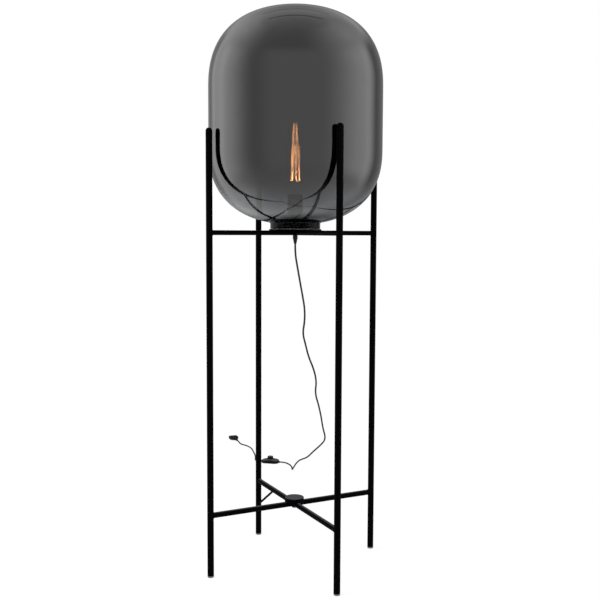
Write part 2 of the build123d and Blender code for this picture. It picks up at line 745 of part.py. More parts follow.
back = Plane((plug_relief_length, 0, 0), x_dir=(0, 1, 0), z_dir=(1, 0, 0))
waist = Plane((plug_relief_length + plug_flare, 0, 0), x_dir=(0, 1, 0), z_dir=(1, 0, 0))
front = Plane((face_x, 0, 0), x_dir=(0, 1, 0), z_dir=(1, 0, 0))
tail = loft([
    back * RectangleRounded(plug_back_width, plug_back_thick, plug_corner),
    waist * RectangleRounded(plug_width, plug_thick, plug_corner),
])
nose = loft([
    waist * RectangleRounded(plug_width, plug_thick, plug_corner),
    front * RectangleRounded(plug_width, plug_thick, plug_corner),
])
body = tail + nose
for row in pin_rows:
    body = body - along_x(pin_core_d, face_x - pin_root, face_x + 1, row)
plug_save("plug_body", body)

sleeve_end = face_x + pin_sleeve_length
pin_end = face_x + pin_length
pins, sleeves = [], []
for row in pin_rows:
    blade = along_x(pin_d, sleeve_end, pin_end, row)
    blade = chamfer(blade.edges().group_by(Axis.X)[-1], pin_edge)
    core = along_x(pin_core_d, face_x - pin_root, sleeve_end, row)
    pins.append(blade + core)
    sleeves.append(along_x(pin_d, face_x, sleeve_end, row) - core)
plug_save("plug_pins", *pins)
plug_save("plug_pin_sleeves", *sleeves)

# ---------------------------------------------------------------- cord
grommet_reach = switch_length / 2 + grommet_length


def switch_point(x):
    return tuple((switch_place * Pos(x, 0, grommet_z)).position)


def plug_point(x):
    return tuple((plug_place * Pos(x, 0, 0)).position)


lamp_side_end = [switch_point(grommet_reach + lead_in_lamp), switch_point(grommet_reach)]
plug_side_start = [switch_point(-grommet_reach), switch_point(-grommet_reach - lead_in_plug)]
plug_side_end = [plug_point(-lead_in_relief), plug_point(0)]
lamp_side = [(0, 0, grip_low)] + hang_route + lamp_side_end
plug_side = plug_side_start + floor_route + plug_side_end
save("cord_lamp_side", cord_tube("lamp side", lamp_side))
save("cord_plug_side", cord_tube("plug side", plug_side))
print("crown", round(crown_z, 1), "bulb", round(bulb_low, 1), round(bulb_high, 1), "lip", round(lip_z, 1))
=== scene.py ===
# %% [markdown]
# # A globe floor lamp, dressed for a photograph
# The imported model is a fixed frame: every rod, nut and shell is already in its place, in metres. This lesson loads it,
# sets the camera, and then gives each piece a surface that makes it look as it does in the photograph. Only what a
# solid model can't show well is made again here: the blown glass, the glowing wire, the flex and the weld seams.

# %% load the frame
from math import atan2, cos, pi, radians, sin, sqrt, tan

import bmesh
import bpy
from mathutils import Matrix, Vector


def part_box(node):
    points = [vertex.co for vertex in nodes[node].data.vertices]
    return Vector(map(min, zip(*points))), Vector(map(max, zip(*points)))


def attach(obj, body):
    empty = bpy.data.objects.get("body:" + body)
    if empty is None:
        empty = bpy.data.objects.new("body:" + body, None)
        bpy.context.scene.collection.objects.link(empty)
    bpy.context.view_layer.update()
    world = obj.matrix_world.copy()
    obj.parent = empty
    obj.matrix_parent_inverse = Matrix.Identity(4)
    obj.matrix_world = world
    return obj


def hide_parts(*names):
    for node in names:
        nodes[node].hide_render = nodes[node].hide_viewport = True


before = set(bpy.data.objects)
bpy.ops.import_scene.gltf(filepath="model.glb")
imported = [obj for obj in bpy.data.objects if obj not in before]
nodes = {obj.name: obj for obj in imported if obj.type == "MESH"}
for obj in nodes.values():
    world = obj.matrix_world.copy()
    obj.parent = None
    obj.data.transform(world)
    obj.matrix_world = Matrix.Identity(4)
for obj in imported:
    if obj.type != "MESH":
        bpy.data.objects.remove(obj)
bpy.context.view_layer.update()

# %% [markdown]
# The camera stands where the photographer stood: about chest high, a little over two metres in front of the lamp, and
# turned so that the square of legs shows one corner to the left. These values came from matching the legs, the feet and
# the outline of the glass. The axes are built one after the other: first the level view, then yaw, pitch and roll.

# %% camera
VIEW_AZIMUTH = radians(18.917)
CAMERA_DISTANCE = 2.1852
CAMERA_HEIGHT = 0.8516
CAMERA_PITCH = radians(4.4832)
CAMERA_YAW = radians(0.3315)
CAMERA_ROLL = radians(0.2212)
FRAME_PIXELS = 600
FOCAL_PIXELS = 866.234

level_forward = Vector((-sin(VIEW_AZIMUTH), cos(VIEW_AZIMUTH), 0))
level_right = Vector((cos(VIEW_AZIMUTH), sin(VIEW_AZIMUTH), 0))
up = Vector((0, 0, 1))
forward = level_forward * cos(CAMERA_YAW) + level_right * sin(CAMERA_YAW)
right = level_right * cos(CAMERA_YAW) - level_forward * sin(CAMERA_YAW)
view = forward * cos(CAMERA_PITCH) - up * sin(CAMERA_PITCH)
tilted_up = up * cos(CAMERA_PITCH) + forward * sin(CAMERA_PITCH)
camera_right = right * cos(CAMERA_ROLL) + tilted_up * sin(CAMERA_ROLL)
camera_up = tilted_up * cos(CAMERA_ROLL) - right * sin(CAMERA_ROLL)

camera_data = bpy.data.cameras.new("camera")
camera_data.sensor_width = 36.0
camera_data.sensor_fit = "HORIZONTAL"
camera_data.lens = camera_data.sensor_width * FOCAL_PIXELS / FRAME_PIXELS
camera_data.clip_end = 200
camera = bpy.data.objects.new("camera", camera_data)
axes = Matrix((camera_right, camera_up, -view)).transposed().to_4x4()
place = level_forward * -CAMERA_DISTANCE + up * CAMERA_HEIGHT
camera.matrix_world = Matrix.Translation(place) @ axes
bpy.context.scene.collection.objects.link(camera)
bpy.context.scene.camera = camera
bpy.context.scene.view_settings.view_transform = "Standard"
print("camera at", [round(v, 3) for v in place], "lens", round(camera_data.lens, 2))

# %% [markdown]
# Every finish is a small graph of nodes. Two helpers keep the graphs short: one turns a colour as a designer writes it,
# in sRGB hex, into the linear numbers that the renderer works with, and one adds a node with its settings and links.

# %% helpers for materials
MILLIMETRE = 0.001
# From this upward share of a face's direction, faces start to get the painted sheen colour.
PAINTED_SHEEN_FROM = 0.75              # upward share of the surface's direction from which a face counts as a top


def linear(hex_colour):
    """sRGB hex, such as "#1a1a1c", as a linear colour."""
    channels = [int(hex_colour[i:i + 2], 16) / 255 for i in (1, 3, 5)]
    return (*[c / 12.92 if c <= 0.04045 else ((c + 0.055) / 1.055) ** 2.4 for c in channels], 1.0)


def add(tree, kind, inputs=None, **settings):
    """Add a node to a tree. An input is a value, or another node's output to link to it."""
    made = tree.nodes.new(kind)
    for name, value in settings.items():
        setattr(made, name, value)
    for name, value in (inputs or {}).items():
        if isinstance(value, bpy.types.NodeSocket):
            tree.links.new(value, made.inputs[name])
        else:
            made.inputs[name].default_value = value
    return made


def finish(name):
    """An empty material, its tree and its output node."""
    material = bpy.data.materials.new(name)
    material.use_nodes = True
    material.node_tree.nodes.clear()
    return material, material.node_tree, add(material.node_tree, "ShaderNodeOutputMaterial")


def grain(tree, size_mm, detail=2.0, stretch=(1, 1, 1)):
    """Noise whose blobs are about size_mm across, fixed to the piece."""
    where = add(tree, "ShaderNodeTexCoord")
    scaled = add(tree, "ShaderNodeMapping", {"Vector": where.outputs["Object"], "Scale": stretch})
    per_metre = 1 / (size_mm * MILLIMETRE)
    return add(tree, "ShaderNodeTexNoise", {"Vector": scaled.outputs["Vector"], "Scale": per_metre, "Detail": detail})


def between(tree, factor, low, high):
    """A colour that goes from low to high as the factor does."""
    mix = add(tree, "ShaderNodeMix", {"Factor": factor, 6: low, 7: high}, data_type="RGBA")
    return mix.outputs[2]


def colour_ramp(tree, source, stops):
    """A smooth ramp through stops of (share, colour)."""
    made = add(tree, "ShaderNodeValToRGB", {"Fac": source})
    made.color_ramp.interpolation = "EASE"
    points = made.color_ramp.elements
    while len(points) < len(stops):
        points.new(0.5)
    for point, (share, colour) in zip(points, stops):
        point.position, point.color = share, colour
    return made.outputs["Color"]


def facing_up(tree):
    """0 on walls and undersides, rising to 1 on level tops: the mask of the painted sheen."""
    geometry = add(tree, "ShaderNodeNewGeometry")
    normal = add(tree, "ShaderNodeSeparateXYZ", {"Vector": geometry.outputs["Normal"]})
    return add(tree, "ShaderNodeMapRange", {"Value": normal.outputs["Z"], "From Min": PAINTED_SHEEN_FROM, "From Max": 1.0},
               interpolation_type="SMOOTHSTEP").outputs["Result"]


def surface(name, low, high, roughness, size_mm, bump_mm=0.0, metallic=0.0, spread=0.08, stretch=(1, 1, 1),
            painted_sheen=None, **fixed):
    """An opaque finish: colour and roughness wander with one grain, which may also lift the surface.

    Faces that look up get a painted sheen colour for light from above. The fixed values are the shader's own inputs.
    """
    material, tree, output = finish(name)
    noise = grain(tree, size_mm, stretch=stretch)
    colour = between(tree, noise.outputs["Fac"], linear(low), linear(high))
    # Painted sheen: faces that look up get the lighter colour in place of the light that they catch.
    if painted_sheen:
        colour = between(tree, facing_up(tree), colour, linear(painted_sheen))
    rough = add(tree, "ShaderNodeMapRange", {"Value": noise.outputs["Fac"], "To Min": roughness - spread,
                                             "To Max": roughness + spread})
    shader = add(tree, "ShaderNodeBsdfPrincipled", {
        "Base Color": colour,
        "Roughness": rough.outputs["Result"],
        "Metallic": metallic,
    })
    for socket, value in fixed.items():
        shader.inputs[socket.replace("_", " ")].default_value = value
    if bump_mm:
        lift = add(tree, "ShaderNodeBump", {"Height": noise.outputs["Fac"], "Distance": bump_mm * MILLIMETRE,
                                            "Strength": 1.0})
        tree.links.new(lift.outputs["Normal"], shader.inputs["Normal"])
    tree.links.new(shader.outputs["BSDF"], output.inputs["Surface"])
    return material


print("black at #1a1a1c is", [round(c, 4) for c in linear("#1a1a1c")])

# %% [markdown]
# ** The stand** is mild steel, powder coated. The powder is sprayed on dry and melts in an oven into a thick, even skin
# with a faint orange peel, a millimetre or so from crest to crest. It is matt and almost black, so it shows as an
# outline. Level tops get a lighter grey colour: a painted sheen, which stands in for the light from above that they
# catch. The coat's mirror is set far weaker than that of real paint, because the legs show no highlight at all.

# %% powder coat, glides and gasket
# The lighter top colours of both coats are painted sheen on the faces that look up.
powder_coat = surface("powder_coated_steel", "#020203", "#040405", roughness=0.55, size_mm=1.2, bump_mm=0.012,
                      painted_sheen="#4d4d50", Specular_IOR_Level=0.01)
weld_coat = surface("powder_coat_over_weld", "#020203", "#040405", roughness=0.55, size_mm=2.5, bump_mm=0.15,
                    painted_sheen="#3a3a3c", Specular_IOR_Level=0.01)
moulded_glide = surface("moulded_nylon", "#6d665f", "#7f776f", roughness=0.55, size_mm=0.8, bump_mm=0.01)
silicone_rubber = surface("translucent_silicone", "#8b8d8c", "#9a9c9b", roughness=0.4, size_mm=1.5,
                          Transmission_Weight=0.35)
print("stand finishes:", powder_coat.name, weld_coat.name)

# %% [markdown]
# **Small metal parts.** The nipple, nuts and screws are zinc plated: bright, slightly blue, and clouded where the
# plating crystals differ. The contacts, the thread shell and the bulb's cap are rolled brass, with fine rolling marks
# along the strip. Wires inside the bulb are nickel.

# %% metals
zinc_plate = surface("zinc_plated_steel", "#9a9da2", "#b4b6b8", roughness=0.32, size_mm=1.5, metallic=1.0)
rolled_brass = surface("rolled_brass", "#b08b45", "#c9a560", roughness=0.28, size_mm=0.8, metallic=1.0,
                       stretch=(1, 1, 6))
nickel_wire = surface("nickel_wire", "#9a958d", "#b0aba2", roughness=0.3, size_mm=0.5, metallic=1.0)
tin_solder = surface("tin_solder", "#a9aaa8", "#c2c3c1", roughness=0.35, size_mm=1.0, metallic=1.0)
print("metals:", zinc_plate.name, rolled_brass.name, nickel_wire.name, tin_solder.name)

# %% [markdown]
# **Mouldings and ceramic.** Lampholder, switch and plug are moulded black plastic with a spark-eroded texture: the tool
# leaves pits a few tenths of a millimetre across, which turn a glossy plastic satin. The core of the lampholder is
# porcelain under a clear glaze, and the bulb's insulator is black glass.

# %% mouldings and ceramic
black_moulding = surface("moulded_black_plastic", "#060607", "#0c0c0d", roughness=0.42, size_mm=0.5, bump_mm=0.02,
                         Specular_IOR_Level=0.12)
# Its lighter top colour is painted sheen on the faces that look up.
switch_moulding = surface("spark_eroded_plastic", "#070708", "#0e0e10", roughness=0.5, size_mm=0.6, bump_mm=0.03,
                          painted_sheen="#4a4a4c", Specular_IOR_Level=0.12)
soft_rubber = surface("soft_black_rubber", "#141414", "#1d1d1d", roughness=0.75, size_mm=0.9, bump_mm=0.02)
pale_moulding = surface("pale_nylon_block", "#c9c6bd", "#d6d3ca", roughness=0.45, size_mm=1.0)
glazed_porcelain = surface("glazed_porcelain", "#e6e2d6", "#efece2", roughness=0.15, size_mm=2.0, spread=0.04,
                           Coat_Weight=0.5)
black_glass = surface("black_vitrite", "#0a0a0b", "#101012", roughness=0.12, size_mm=1.0, spread=0.03)
print("mouldings:", black_moulding.name, switch_moulding.name)

# %% [markdown]
# **The flex** is two cores in a round black PVC jacket. PVC is extruded, so its faint marks run along the cord. It is
# drawn a little greyer than the steel. The two cores show only inside the lampholder, and both are brown.

# %% flex and wires
pvc_jacket = surface("extruded_pvc_jacket", "#0e0e10", "#18181a", roughness=0.5, size_mm=1.0, bump_mm=0.02,
                     stretch=(1, 1, 0.2), Specular_IOR_Level=0.2)
pvc_core = surface("pvc_core_sheath", "#5a3418", "#6b4122", roughness=0.4, size_mm=0.8)
print("flex:", pvc_jacket.name)

# %% [markdown]
# **The globe's glass** is tinted grey. Two walls of it let little light through: the top is close to black, and lower
# down the room behind just shows. What the eye sees is mostly the polished outside mirroring the studio. So the graph
# is one dielectric shader whose tint follows the height on the piece itself, with a very slow waviness. The neck is a
# stand-in. It looks nearly black, where glass would mirror the white studio, and why isn't known. So it is given a
# darker tint, and an index lower than any glass has.

# %% smoked glass
GLASS_IOR = 1.5
TINT_LOW_Z = 0.86
TINT_HIGH_Z = 1.0
NECK_TOP_Z = 0.876
POLISHED_FROM_Z = 0.885
NECK_IOR = 1.1               # not a real index: it weakens the mirror of the neck
WAVE_SIZE_MM = 90
WAVE_HEIGHT_MM = 0.25
# share of the height from the low to the high tint, and colour
TINT_STOPS = [(0.0, "#3c3e41"), (0.16, "#4e5053"), (0.3, "#85878a"), (1.0, "#282a2d")]
LAMP_GLASS_IOR = 1.47
STREAK_SIZE_MM = 6
STREAK_STRETCH = (1, 1, 0.15)


def smoked_glass():
    """The tinted glass of the globe."""
    material, tree, output = finish("smoked_blown_glass")
    where = add(tree, "ShaderNodeTexCoord")
    split = add(tree, "ShaderNodeSeparateXYZ", {"Vector": where.outputs["Object"]})
    height = add(tree, "ShaderNodeMapRange", {"Value": split.outputs["Z"], "From Min": TINT_LOW_Z,
                                              "From Max": TINT_HIGH_Z})
    tint = colour_ramp(tree, height.outputs["Result"], [(share, linear(colour)) for share, colour in TINT_STOPS])
    polish = add(tree, "ShaderNodeMapRange", {"Value": split.outputs["Z"], "From Min": NECK_TOP_Z,
                                              "From Max": POLISHED_FROM_Z, "To Min": NECK_IOR, "To Max": GLASS_IOR})
    waves = grain(tree, WAVE_SIZE_MM, detail=1.0)
    lift = add(tree, "ShaderNodeBump", {"Height": waves.outputs["Fac"], "Distance": WAVE_HEIGHT_MM * MILLIMETRE,
                                        "Strength": 1.0})
    shader = add(tree, "ShaderNodeBsdfPrincipled", {
        "Base Color": tint, "Roughness": 0.0, "IOR": polish.outputs["Result"], "Transmission Weight": 1.0,
        "Normal": lift.outputs["Normal"],
    })
    tree.links.new(shader.outputs["BSDF"], output.inputs["Surface"])
    return material


def clear_glass(name, tint):
    """Colourless glass with faint streaks along its height."""
    material, tree, output = finish(name)
    streaks = grain(tree, STREAK_SIZE_MM, stretch=STREAK_STRETCH)
    shader = add(tree, "ShaderNodeBsdfPrincipled", {
        "Base Color": between(tree, streaks.outputs["Fac"], linear(tint), linear("#ffffff")),
        "Roughness": 0.0, "IOR": LAMP_GLASS_IOR, "Transmission Weight": 1.0,
    })
    tree.links.new(shader.outputs["BSDF"], output.inputs["Surface"])
    return material


globe_glass = smoked_glass()
lamp_glass = clear_glass("drawn_lamp_glass", "#f4f4f0")
print("glass:", globe_glass.name, lamp_glass.name)

# %% [markdown]
# ** The filament** is a long wire that glows orange, and each strand can be looked at. It is the only light inside the
# globe, and the tinted glass takes most of it away. Its colour and strength were fitted to the photograph.

# %% glowing wire
GLOW_COLOUR = "#ffa862"
GLOW_STRENGTH = 62.0
GLOW_SPREAD = 0.3            # share by which the glow rises and falls along the wire
GLOW_SIZE_MM = 12


def glowing_wire():
    """Wire that gives light, a little more in some places than in others."""
    material, tree, output = finish("glowing_carbon_wire")
    wander = grain(tree, GLOW_SIZE_MM)
    power = add(tree, "ShaderNodeMapRange", {"Value": wander.outputs["Fac"],
                                             "To Min": GLOW_STRENGTH * (1 - GLOW_SPREAD),
                                             "To Max": GLOW_STRENGTH * (1 + GLOW_SPREAD)})
    shader = add(tree, "ShaderNodeBsdfPrincipled", {
        "Base Color": linear("#3a2014"), "Roughness": 0.5, "Emission Color": linear(GLOW_COLOUR),
        "Emission Strength": power.outputs["Result"],
    })
    tree.links.new(shader.outputs["BSDF"], output.inputs["Surface"])
    return material


carbon_wire = glowing_wire()
print("filament:", carbon_wire.name)

# %% [markdown]
# Now each node of the frame gets its finish. The frame's meshes stay as they are: only their material slots change. A
# table from finish to node names is easier to check than fifty lines of code.

# %% dress the frame
CORNERS = ("front_left", "front_right", "back_right", "back_left")
dressing = {
    powder_coat: [f"leg_{c}" for c in CORNERS] + [f"upper_arm_{c}" for c in CORNERS] + [
        "leg_caps", "upper_hub", "lower_arm_through", "lower_arm_front", "lower_arm_back", "lower_hub_disc",
        "lower_hub_washer", "brace_rod", "gallery_plate", "locating_ring", "holder_cup"],
    moulded_glide: ["foot_glides"],
    globe_glass: ["glass_globe"],
    silicone_rubber: ["glass_gasket"],
    zinc_plate: ["lower_hub_screw", "switch_screws", "threaded_nipple", "nipple_nuts"],
    black_moulding: ["cord_grip_collar", "cord_grip_sleeve", "holder_base", "holder_skirt", "plug_body",
                     "plug_strain_relief", "plug_pin_sleeves", "switch_grommets"],
    switch_moulding: ["switch_base", "switch_cover", "foot_button"],
    soft_rubber: ["switch_pads"],
    glazed_porcelain: ["holder_core", "holder_liner"],
    rolled_brass: ["holder_thread_shell", "holder_contact", "holder_terminals", "bulb_cap", "switch_terminals",
                   "plug_pins"],
    pvc_core: ["supply_wires"],
    tin_solder: ["bulb_contact"],
    black_glass: ["bulb_insulator"],
    lamp_glass: ["bulb_glass", "bulb_stem"],
    nickel_wire: ["bulb_leads", "bulb_supports", "button_spring"],
    carbon_wire: ["bulb_filament"],
    pale_moulding: ["switch_contact_block"],
    pvc_jacket: ["cord_lamp_side", "cord_plug_side"],
}
for material, names in dressing.items():
    for name in names:
        nodes[name].data.materials.clear()
        nodes[name].data.materials.append(material)
bare = set(nodes) - {name for names in dressing.values() for name in names}
print("dressed", len(nodes) - len(bare), "nodes; left bare:", sorted(bare))

# %% [markdown]
# **The globe again, as a smooth skin.** A solid model gives the glass as small flat facets, and a mirror shows each of
# them. The same profile, two superellipse domes with a straight belly between them and a short neck, is turned here
# with far more points. Both faces are made, so that the wall has the model's three millimetres, and the lip is rounded.

# %% blown glass globe
GLOBE_RADIUS = 0.2164
GLOBE_WALL = 0.003
CROWN_Z = 1.4
CROWN_HEIGHT = 0.1965
CROWN_POWER = 2.43
BELLY_HEIGHT = 0.147
BASE_HEIGHT = 0.1859
BASE_POWER = 2.364
NECK_RADIUS = 0.0628
NECK_FILLET = 0.004
SPIN_STEPS = 192
DOME_STEPS = 56
NECK_STEPS = 8
LIP_STEPS = 10
ARC_CLEARANCE = 0.0005       # between the last point of a dome and the arc that follows it
ON_AXIS = 1e-6               # a radius under this is a single point
belly_top = CROWN_Z - CROWN_HEIGHT
belly_low = belly_top - BELLY_HEIGHT
lip_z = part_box("glass_globe")[0].z


def dome(radius, height, power, share):
    """Radius and rise of a superellipse dome; share goes from 0 at the belly to 1 at the pole."""
    turn = share * pi / 2
    return radius * cos(turn) ** (2 / power), height * sin(turn) ** (2 / power)


def rounded_neck(corner, before, radius):
    """An arc that takes the corner between the lower dome and the neck."""
    inward, down = (Vector(before) - Vector(corner)).normalized(), Vector((0, -1))
    bend = inward.angle(down)
    reach = radius / tan(bend / 2)
    start, end = Vector(corner) + inward * reach, Vector(corner) + down * reach
    arc = []
    for step in range(NECK_STEPS + 1):
        t = step / NECK_STEPS
        arc.append(tuple(start * (1 - t) ** 2 + Vector(corner) * 2 * t * (1 - t) + end * t ** 2))
    return arc


def glass_face(inset):
    """Points of one face of the glass from the crown to above the lip."""
    radius, neck = GLOBE_RADIUS - inset, NECK_RADIUS - inset
    points = []
    for step in range(DOME_STEPS, 0, -1):
        r, rise = dome(radius, CROWN_HEIGHT - inset, CROWN_POWER, step / DOME_STEPS)
        points.append((r if step < DOME_STEPS else 0.0, belly_top + rise))
    points += [(radius, belly_top), (radius, belly_low)]
    lower = [(radius, belly_low)]
    for step in range(1, DOME_STEPS + 1):
        r, rise = dome(radius, BASE_HEIGHT - inset, BASE_POWER, step / DOME_STEPS)
        if r <= neck:
            break
        lower.append((r, belly_low - rise))
    corner_rise = (BASE_HEIGHT - inset) * (1 - (neck / radius) ** BASE_POWER) ** (1 / BASE_POWER)
    arc = rounded_neck((neck, belly_low - corner_rise), lower[-2], NECK_FILLET + inset)
    kept = [p for p in lower[1:] if p[0] > arc[0][0] + ARC_CLEARANCE]
    return points + kept + arc


def revolve(name, profile, steps, material):
    """Turn a profile of (radius, height) about the vertical axis into a closed mesh."""
    mesh = bmesh.new()
    rings = []
    for r, z in profile:
        if r < ON_AXIS:
            rings.append([mesh.verts.new((0, 0, z))])
        else:
            turns = [2 * pi * i / steps for i in range(steps)]
            rings.append([mesh.verts.new((r * cos(t), r * sin(t), z)) for t in turns])
    for low, high in zip(rings, rings[1:]):
        for i in range(steps):
            j = (i + 1) % steps
            if len(low) == 1:
                mesh.faces.new((low[0], high[i], high[j]))
            elif len(high) == 1:
                mesh.faces.new((low[i], high[0], low[j]))
            else:
                mesh.faces.new((low[i], high[i], high[j], low[j]))
    bmesh.ops.recalc_face_normals(mesh, faces=mesh.faces)
    data = bpy.data.meshes.new(name)
    mesh.to_mesh(data)
    mesh.free()
    data.polygons.foreach_set("use_smooth", [True] * len(data.polygons))
    piece = bpy.data.objects.new(name, data)
    piece.data.materials.append(material)
    bpy.context.scene.collection.objects.link(piece)
    return piece


outer_face = glass_face(0.0)
inner_face = glass_face(GLOBE_WALL)
lip_radius = GLOBE_WALL / 2
lip_middle = NECK_RADIUS - lip_radius
lip = [(lip_middle + lip_radius * cos(a), lip_z + lip_radius - lip_radius * sin(a))
       for a in [pi * step / LIP_STEPS for step in range(LIP_STEPS + 1)]]
globe = revolve("blown_globe", outer_face + lip + inner_face[::-1], SPIN_STEPS, globe_glass)
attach(globe, "globe")
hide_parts("glass_globe")
print("globe mesh faces:", len(globe.data.polygons), "crown", CROWN_Z, "lip", round(lip_z, 4))

# %% [markdown]
# **The filament as one bent wire.** It hangs between two rings of fine hooks: down at the feet, up over the hoops, and
# every third hoop is a tall one. The modelled wire is 0.7 mm thick, a quarter of a pixel here. It is drawn nearly half
# as thick again, so that each strand can be told from the next. Two control points at each bend make it round.

# %% filament wire
FILAMENT_FOOT_Z = 0.979
FILAMENT_FOOT_RADIUS = 0.011
FILAMENT_TALL = (0.0045, 1.122)
FILAMENT_SHORT = (0.009, 1.067)
FILAMENT_HOOPS = 6
TALL_EVERY = 3
FILAMENT_STEP = radians(50)
FILAMENT_THICKNESS = 0.001
BEND_WIDTH = 0.0022
CURVE_ORDER = 3
STEPS_ALONG = 10
STEPS_ROUND = 3


def round_mast(radius, turn, z, sideways):
    """A point beside the mast, moved sideways round it."""
    return Vector((radius * cos(turn) - sideways * sin(turn), radius * sin(turn) + sideways * cos(turn), z))


def filament_route():
    """Two points at each hook and each hoop, from the first foot to the last."""
    points = [round_mast(FILAMENT_FOOT_RADIUS, 0, FILAMENT_FOOT_Z, 0)]
    for hoop in range(FILAMENT_HOOPS):
        radius, z = FILAMENT_TALL if hoop % TALL_EVERY == 1 else FILAMENT_SHORT
        turn = FILAMENT_STEP * (hoop + 0.5)
        points += [round_mast(radius, turn, z, side * BEND_WIDTH / 2) for side in (-1, 1)]
        turn = FILAMENT_STEP * (hoop + 1)
        points += [round_mast(FILAMENT_FOOT_RADIUS, turn, FILAMENT_FOOT_Z, side * BEND_WIDTH / 2)
                   for side in (-1, 1)]
    return points


def bent_wire(name, routes, radius, material, closed=False):
    """Round wire on smooth curves, each steered by the points of its route."""
    curve = bpy.data.curves.new(name, "CURVE")
    curve.dimensions = "3D"
    curve.resolution_u = STEPS_ALONG
    curve.bevel_depth = radius
    curve.bevel_resolution = STEPS_ROUND
    curve.use_fill_caps = not closed
    for route in routes:
        spline = curve.splines.new("NURBS")
        spline.points.add(len(route) - 1)
        for point, place in zip(spline.points, route):
            point.co = (*place, 1.0)
        spline.order_u = CURVE_ORDER
        spline.use_endpoint_u = not closed
        spline.use_cyclic_u = closed
    curve.materials.append(material)
    piece = bpy.data.objects.new(name, curve)
    bpy.context.scene.collection.objects.link(piece)
    return piece


filament = bent_wire("filament_wire", [filament_route()], FILAMENT_THICKNESS / 2, carbon_wire)
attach(filament, "bulb")
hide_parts("bulb_filament")
print("filament bends:", 2 * FILAMENT_HOOPS)

# %% [markdown]
# **The flex** falls from the cord grip in a shallow curve behind the lamp, touches the floor, and goes on through the
# foot switch to the plug. A real cord has no corners, so the route's points only steer it: they are the control points
# of a third-order curve, which stays inside their corners and never kinks.

# %% flex
FLEX_RADIUS = 0.0025
GRIP_TIP = (0, 0, 0.8225)
SWITCH_CENTRE = Vector((-0.398, 0.886, 0.0046))
SWITCH_TURN = radians(5.8)
SWITCH_REACH = 0.036
# how far from each fitting the route still runs straight out of it
LEAD_IN_LAMP = 0.02
LEAD_IN_PLUG = 0.009
LEAD_IN_RELIEF = 0.014
PLUG_START = Vector((-0.6364, 1.1382, 0.00685))
PLUG_TURN = radians(130.3)
hang_route = [
    (0, 0, 0.797), (0.002, 0.012, 0.764), (0.003, 0.029, 0.727), (0.003, 0.05, 0.69), (0.002, 0.073, 0.652),
    (-0.005, 0.094, 0.616), (-0.017, 0.113, 0.582), (-0.016, 0.136, 0.549), (-0.017, 0.165, 0.512),
    (-0.012, 0.197, 0.474), (-0.013, 0.227, 0.434), (-0.027, 0.257, 0.395), (-0.027, 0.293, 0.353),
    (-0.031, 0.331, 0.311), (-0.038, 0.371, 0.269), (-0.041, 0.414, 0.225), (-0.072, 0.457, 0.193),
    (-0.108, 0.503, 0.161), (-0.143, 0.55, 0.127), (-0.174, 0.6, 0.106), (-0.205, 0.65, 0.086),
    (-0.234, 0.702, 0.06), (-0.261, 0.753, 0.03), (-0.281, 0.796, 0.008), (-0.292, 0.827, 0.0025),
    (-0.304, 0.855, 0.0025), (-0.321, 0.878, 0.0025),
]
floor_route = [
    (-0.452, 0.8843, 0.0042), (-0.4595, 0.8909, 0.0032), (-0.466, 0.9065, 0.0025), (-0.474, 0.929, 0.0025),
    (-0.488, 0.96, 0.0025), (-0.514, 1.008, 0.0025), (-0.541, 1.055, 0.0025), (-0.572, 1.085, 0.0025),
    (-0.606, 1.1, 0.0025),
]


def along(start, turn, distance):
    """The point at a distance from start, level, in the direction turn."""
    return tuple(start + Vector((cos(turn), sin(turn), 0)) * distance)


def flex(name, route, node):
    """One stretch of the cord, in place of a node of the frame."""
    piece = bent_wire(name, [route], FLEX_RADIUS, pvc_jacket)
    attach(piece, "stand")
    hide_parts(node)
    return piece


switch_in = along(SWITCH_CENTRE, SWITCH_TURN, SWITCH_REACH)
switch_out = along(SWITCH_CENTRE, SWITCH_TURN, -SWITCH_REACH)
lamp_side = [GRIP_TIP] + hang_route + [along(SWITCH_CENTRE, SWITCH_TURN, SWITCH_REACH + LEAD_IN_LAMP), switch_in]
plug_side = [switch_out, along(SWITCH_CENTRE, SWITCH_TURN, -SWITCH_REACH - LEAD_IN_PLUG)] + floor_route
plug_side += [along(PLUG_START, PLUG_TURN, -LEAD_IN_RELIEF), tuple(PLUG_START)]
lamp_flex = flex("lamp_flex", lamp_side, "cord_lamp_side")
plug_flex = flex("plug_flex", plug_side, "cord_plug_side")
print("flex routes:", len(lamp_side), "and", len(plug_side), "points")

# %% [markdown]
# **Weld seams.** Each arm is coped to the leg and welded all round. Under the powder coat the seam would be a soft ring
# along the line where one cylinder meets the other, so it is drawn as a closed curve on that line. The photograph is
# too small to show it, so its thickness of a couple of millimetres is a guess.

# %% weld seams
LEG_HALF_SPACING = 0.16221
LEG_RADIUS = 0.008
SEAM_RADIUS = 0.0013
SEAM_STEPS = 24
arms = {"upper": (0.8495, 0.006), "lower": (0.155, 0.007)}


def seam_ring(leg, height, arm_radius):
    """Points where a level arm from the middle meets an upright leg."""
    inward = Vector((-leg[0], -leg[1], 0)).normalized()
    side = up.cross(inward)
    ring = []
    for step in range(SEAM_STEPS):
        turn = 2 * pi * step / SEAM_STEPS
        across, rise = arm_radius * cos(turn), arm_radius * sin(turn)
        depth = sqrt(LEG_RADIUS ** 2 - across ** 2)
        ring.append(Vector((leg[0], leg[1], height + rise)) + inward * depth + side * across)
    return ring


legs = [(x * LEG_HALF_SPACING, y * LEG_HALF_SPACING) for x in (-1, 1) for y in (-1, 1)]
for level, (height, arm_radius) in arms.items():
    rings = [seam_ring(leg, height, arm_radius) for leg in legs]
    seams = bent_wire(f"{level}_arm_seams", rings, SEAM_RADIUS, weld_coat, closed=True)
    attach(seams, "stand")

# %% [markdown]
# **The studio.** Floor and world are white to the eye, in mirrors and through glass, while the light that falls on matt
# surfaces stays at a plain level. The floor is part matt paint, which keeps the lamp's soft shadow, and part plain
# white, which keeps the ground as bright as the background right to the horizon.

# %% floor and world
FLOOR_SIZE = 60.0
FLOOR_WHITE_SHARE = 0.8
FLOOR_WHITE = 1.07
DIFFUSE_WORLD = 0.75


